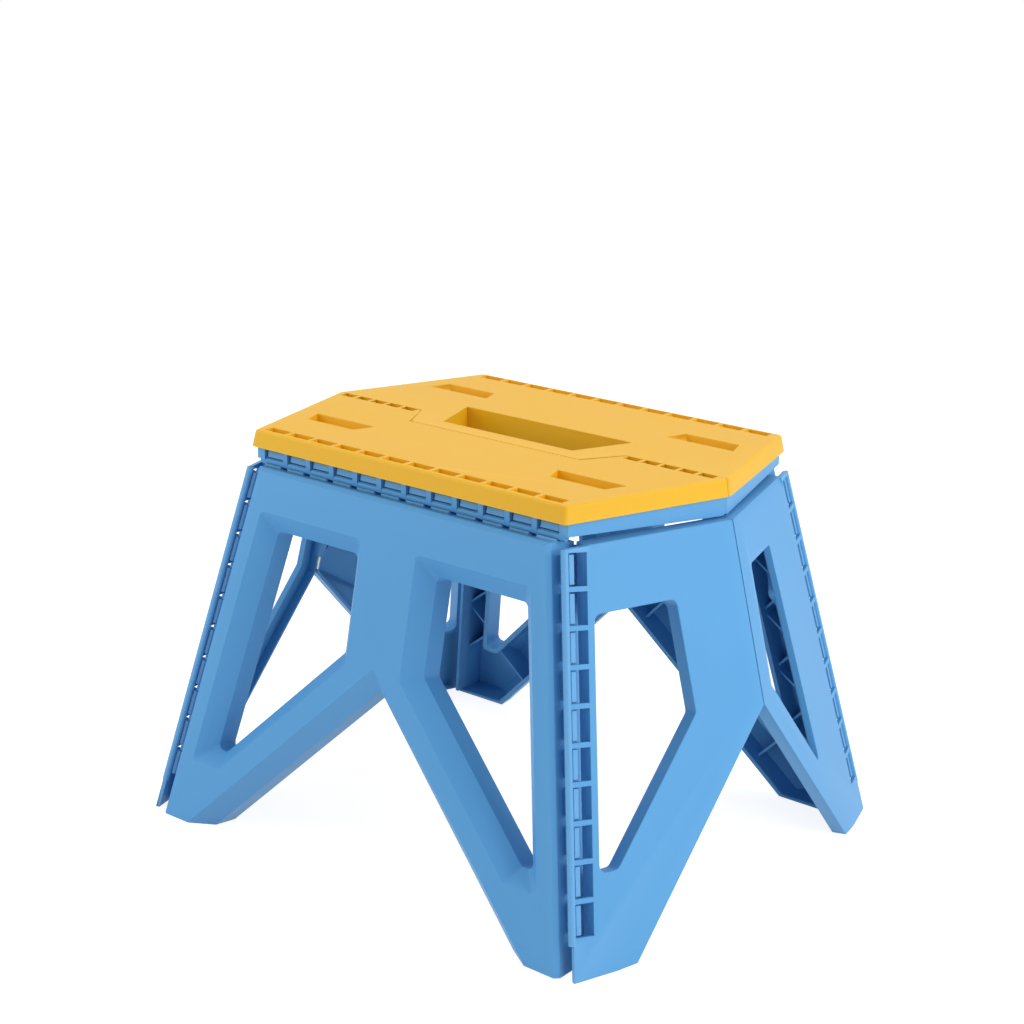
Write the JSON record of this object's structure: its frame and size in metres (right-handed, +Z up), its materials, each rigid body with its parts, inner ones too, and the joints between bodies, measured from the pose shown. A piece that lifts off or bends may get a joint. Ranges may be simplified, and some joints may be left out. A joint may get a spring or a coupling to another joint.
{
  "type": "folding step stool",
  "caption": "Folding step stool of moulded panels: a split seat with a hand slot, leg panels with struts and hinged end panels that fold outwards.",
  "frame": {"origin": "on the floor, under the middle of the seat", "axes": "+Z up, +X along the seat's long side to the right, -Y towards the front leg panel"},
  "size_m": [0.4158, 0.3472, 0.28],
  "materials": {
    "blue_polypropylene": "satin moulded",
    "yellow_polypropylene": "satin moulded",
    "zinc_steel": "zinc plated"
  },
  "bodies": {
    "rear_leg": {"leg_panel_rear": "blue_polypropylene"},
    "rear_half": {"seat_frame_rear": "blue_polypropylene", "deck_rear": "yellow_polypropylene", "seat_pin_left": "zinc_steel", "seat_pin_right": "zinc_steel", "deck_screw_rear_1": "zinc_steel", "deck_screw_rear_2": "zinc_steel", "deck_screw_rear_3": "zinc_steel", "deck_screw_rear_4": "zinc_steel"},
    "front_half": {"seat_frame_front": "blue_polypropylene", "deck_front": "yellow_polypropylene", "deck_screw_front_1": "zinc_steel", "deck_screw_front_2": "zinc_steel", "deck_screw_front_3": "zinc_steel", "deck_screw_front_4": "zinc_steel"},
    "front_leg": {"leg_panel_front": "blue_polypropylene"},
    "right_rear_end": {"end_panel_right_rear": "blue_polypropylene", "fold_pin_right": "zinc_steel"},
    "left_rear_end": {"end_panel_left_rear": "blue_polypropylene"},
    "right_front_end": {"end_panel_right_front": "blue_polypropylene"},
    "left_front_end": {"end_panel_left_front": "blue_polypropylene", "fold_pin_left": "zinc_steel"}
  },
  "joints": [
    {"name": "rear_seat_hinge", "type": "hinge", "parent": "rear_leg", "child": "rear_half", "pos_m": [0, 0.11494, 0.2581], "axis": [-1, 0, 0], "range_deg": [0, 68.92]},
    {"name": "seat_fold", "type": "hinge", "parent": "rear_half", "child": "front_half", "pos_m": [0, 0, 0.2548], "axis": [1, 0, 0], "range_deg": [0, 158.8]},
    {"name": "front_leg_hinge", "type": "hinge", "parent": "front_half", "child": "front_leg", "pos_m": [0, -0.11494, 0.2581], "axis": [-1, 0, 0], "range_deg": [0, 68.92]},
    {"name": "right_rear_corner_hinge", "type": "hinge", "parent": "rear_leg", "child": "right_rear_end", "pos_m": [0.137, 0.1227, 0.253], "axis": [-0.199, -0.1783, 0.9636], "range_deg": [0, 68]},
    {"name": "left_rear_corner_hinge", "type": "hinge", "parent": "rear_leg", "child": "left_rear_end", "pos_m": [-0.137, 0.1227, 0.253], "axis": [-0.199, 0.1783, -0.9636], "range_deg": [0, 68]},
    {"name": "right_front_corner_hinge", "type": "hinge", "parent": "front_leg", "child": "right_front_end", "pos_m": [0.137, -0.1227, 0.253], "axis": [0.199, -0.1783, -0.9636], "range_deg": [0, 68]},
    {"name": "left_front_corner_hinge", "type": "hinge", "parent": "front_leg", "child": "left_front_end", "pos_m": [-0.137, -0.1227, 0.253], "axis": [0.199, 0.1783, 0.9636], "range_deg": [0, 68]}
  ],
  "couplings": [
    {"joint": "rear_seat_hinge", "follows": "seat_fold", "ratio": 0.43399},
    {"joint": "front_leg_hinge", "follows": "seat_fold", "ratio": 0.43399},
    {"joint": "right_rear_corner_hinge", "follows": "seat_fold", "ratio": 0.4282},
    {"joint": "left_rear_corner_hinge", "follows": "seat_fold", "ratio": 0.4282},
    {"joint": "right_front_corner_hinge", "follows": "seat_fold", "ratio": 0.4282},
    {"joint": "left_front_corner_hinge", "follows": "seat_fold", "ratio": 0.4282}
  ]
}
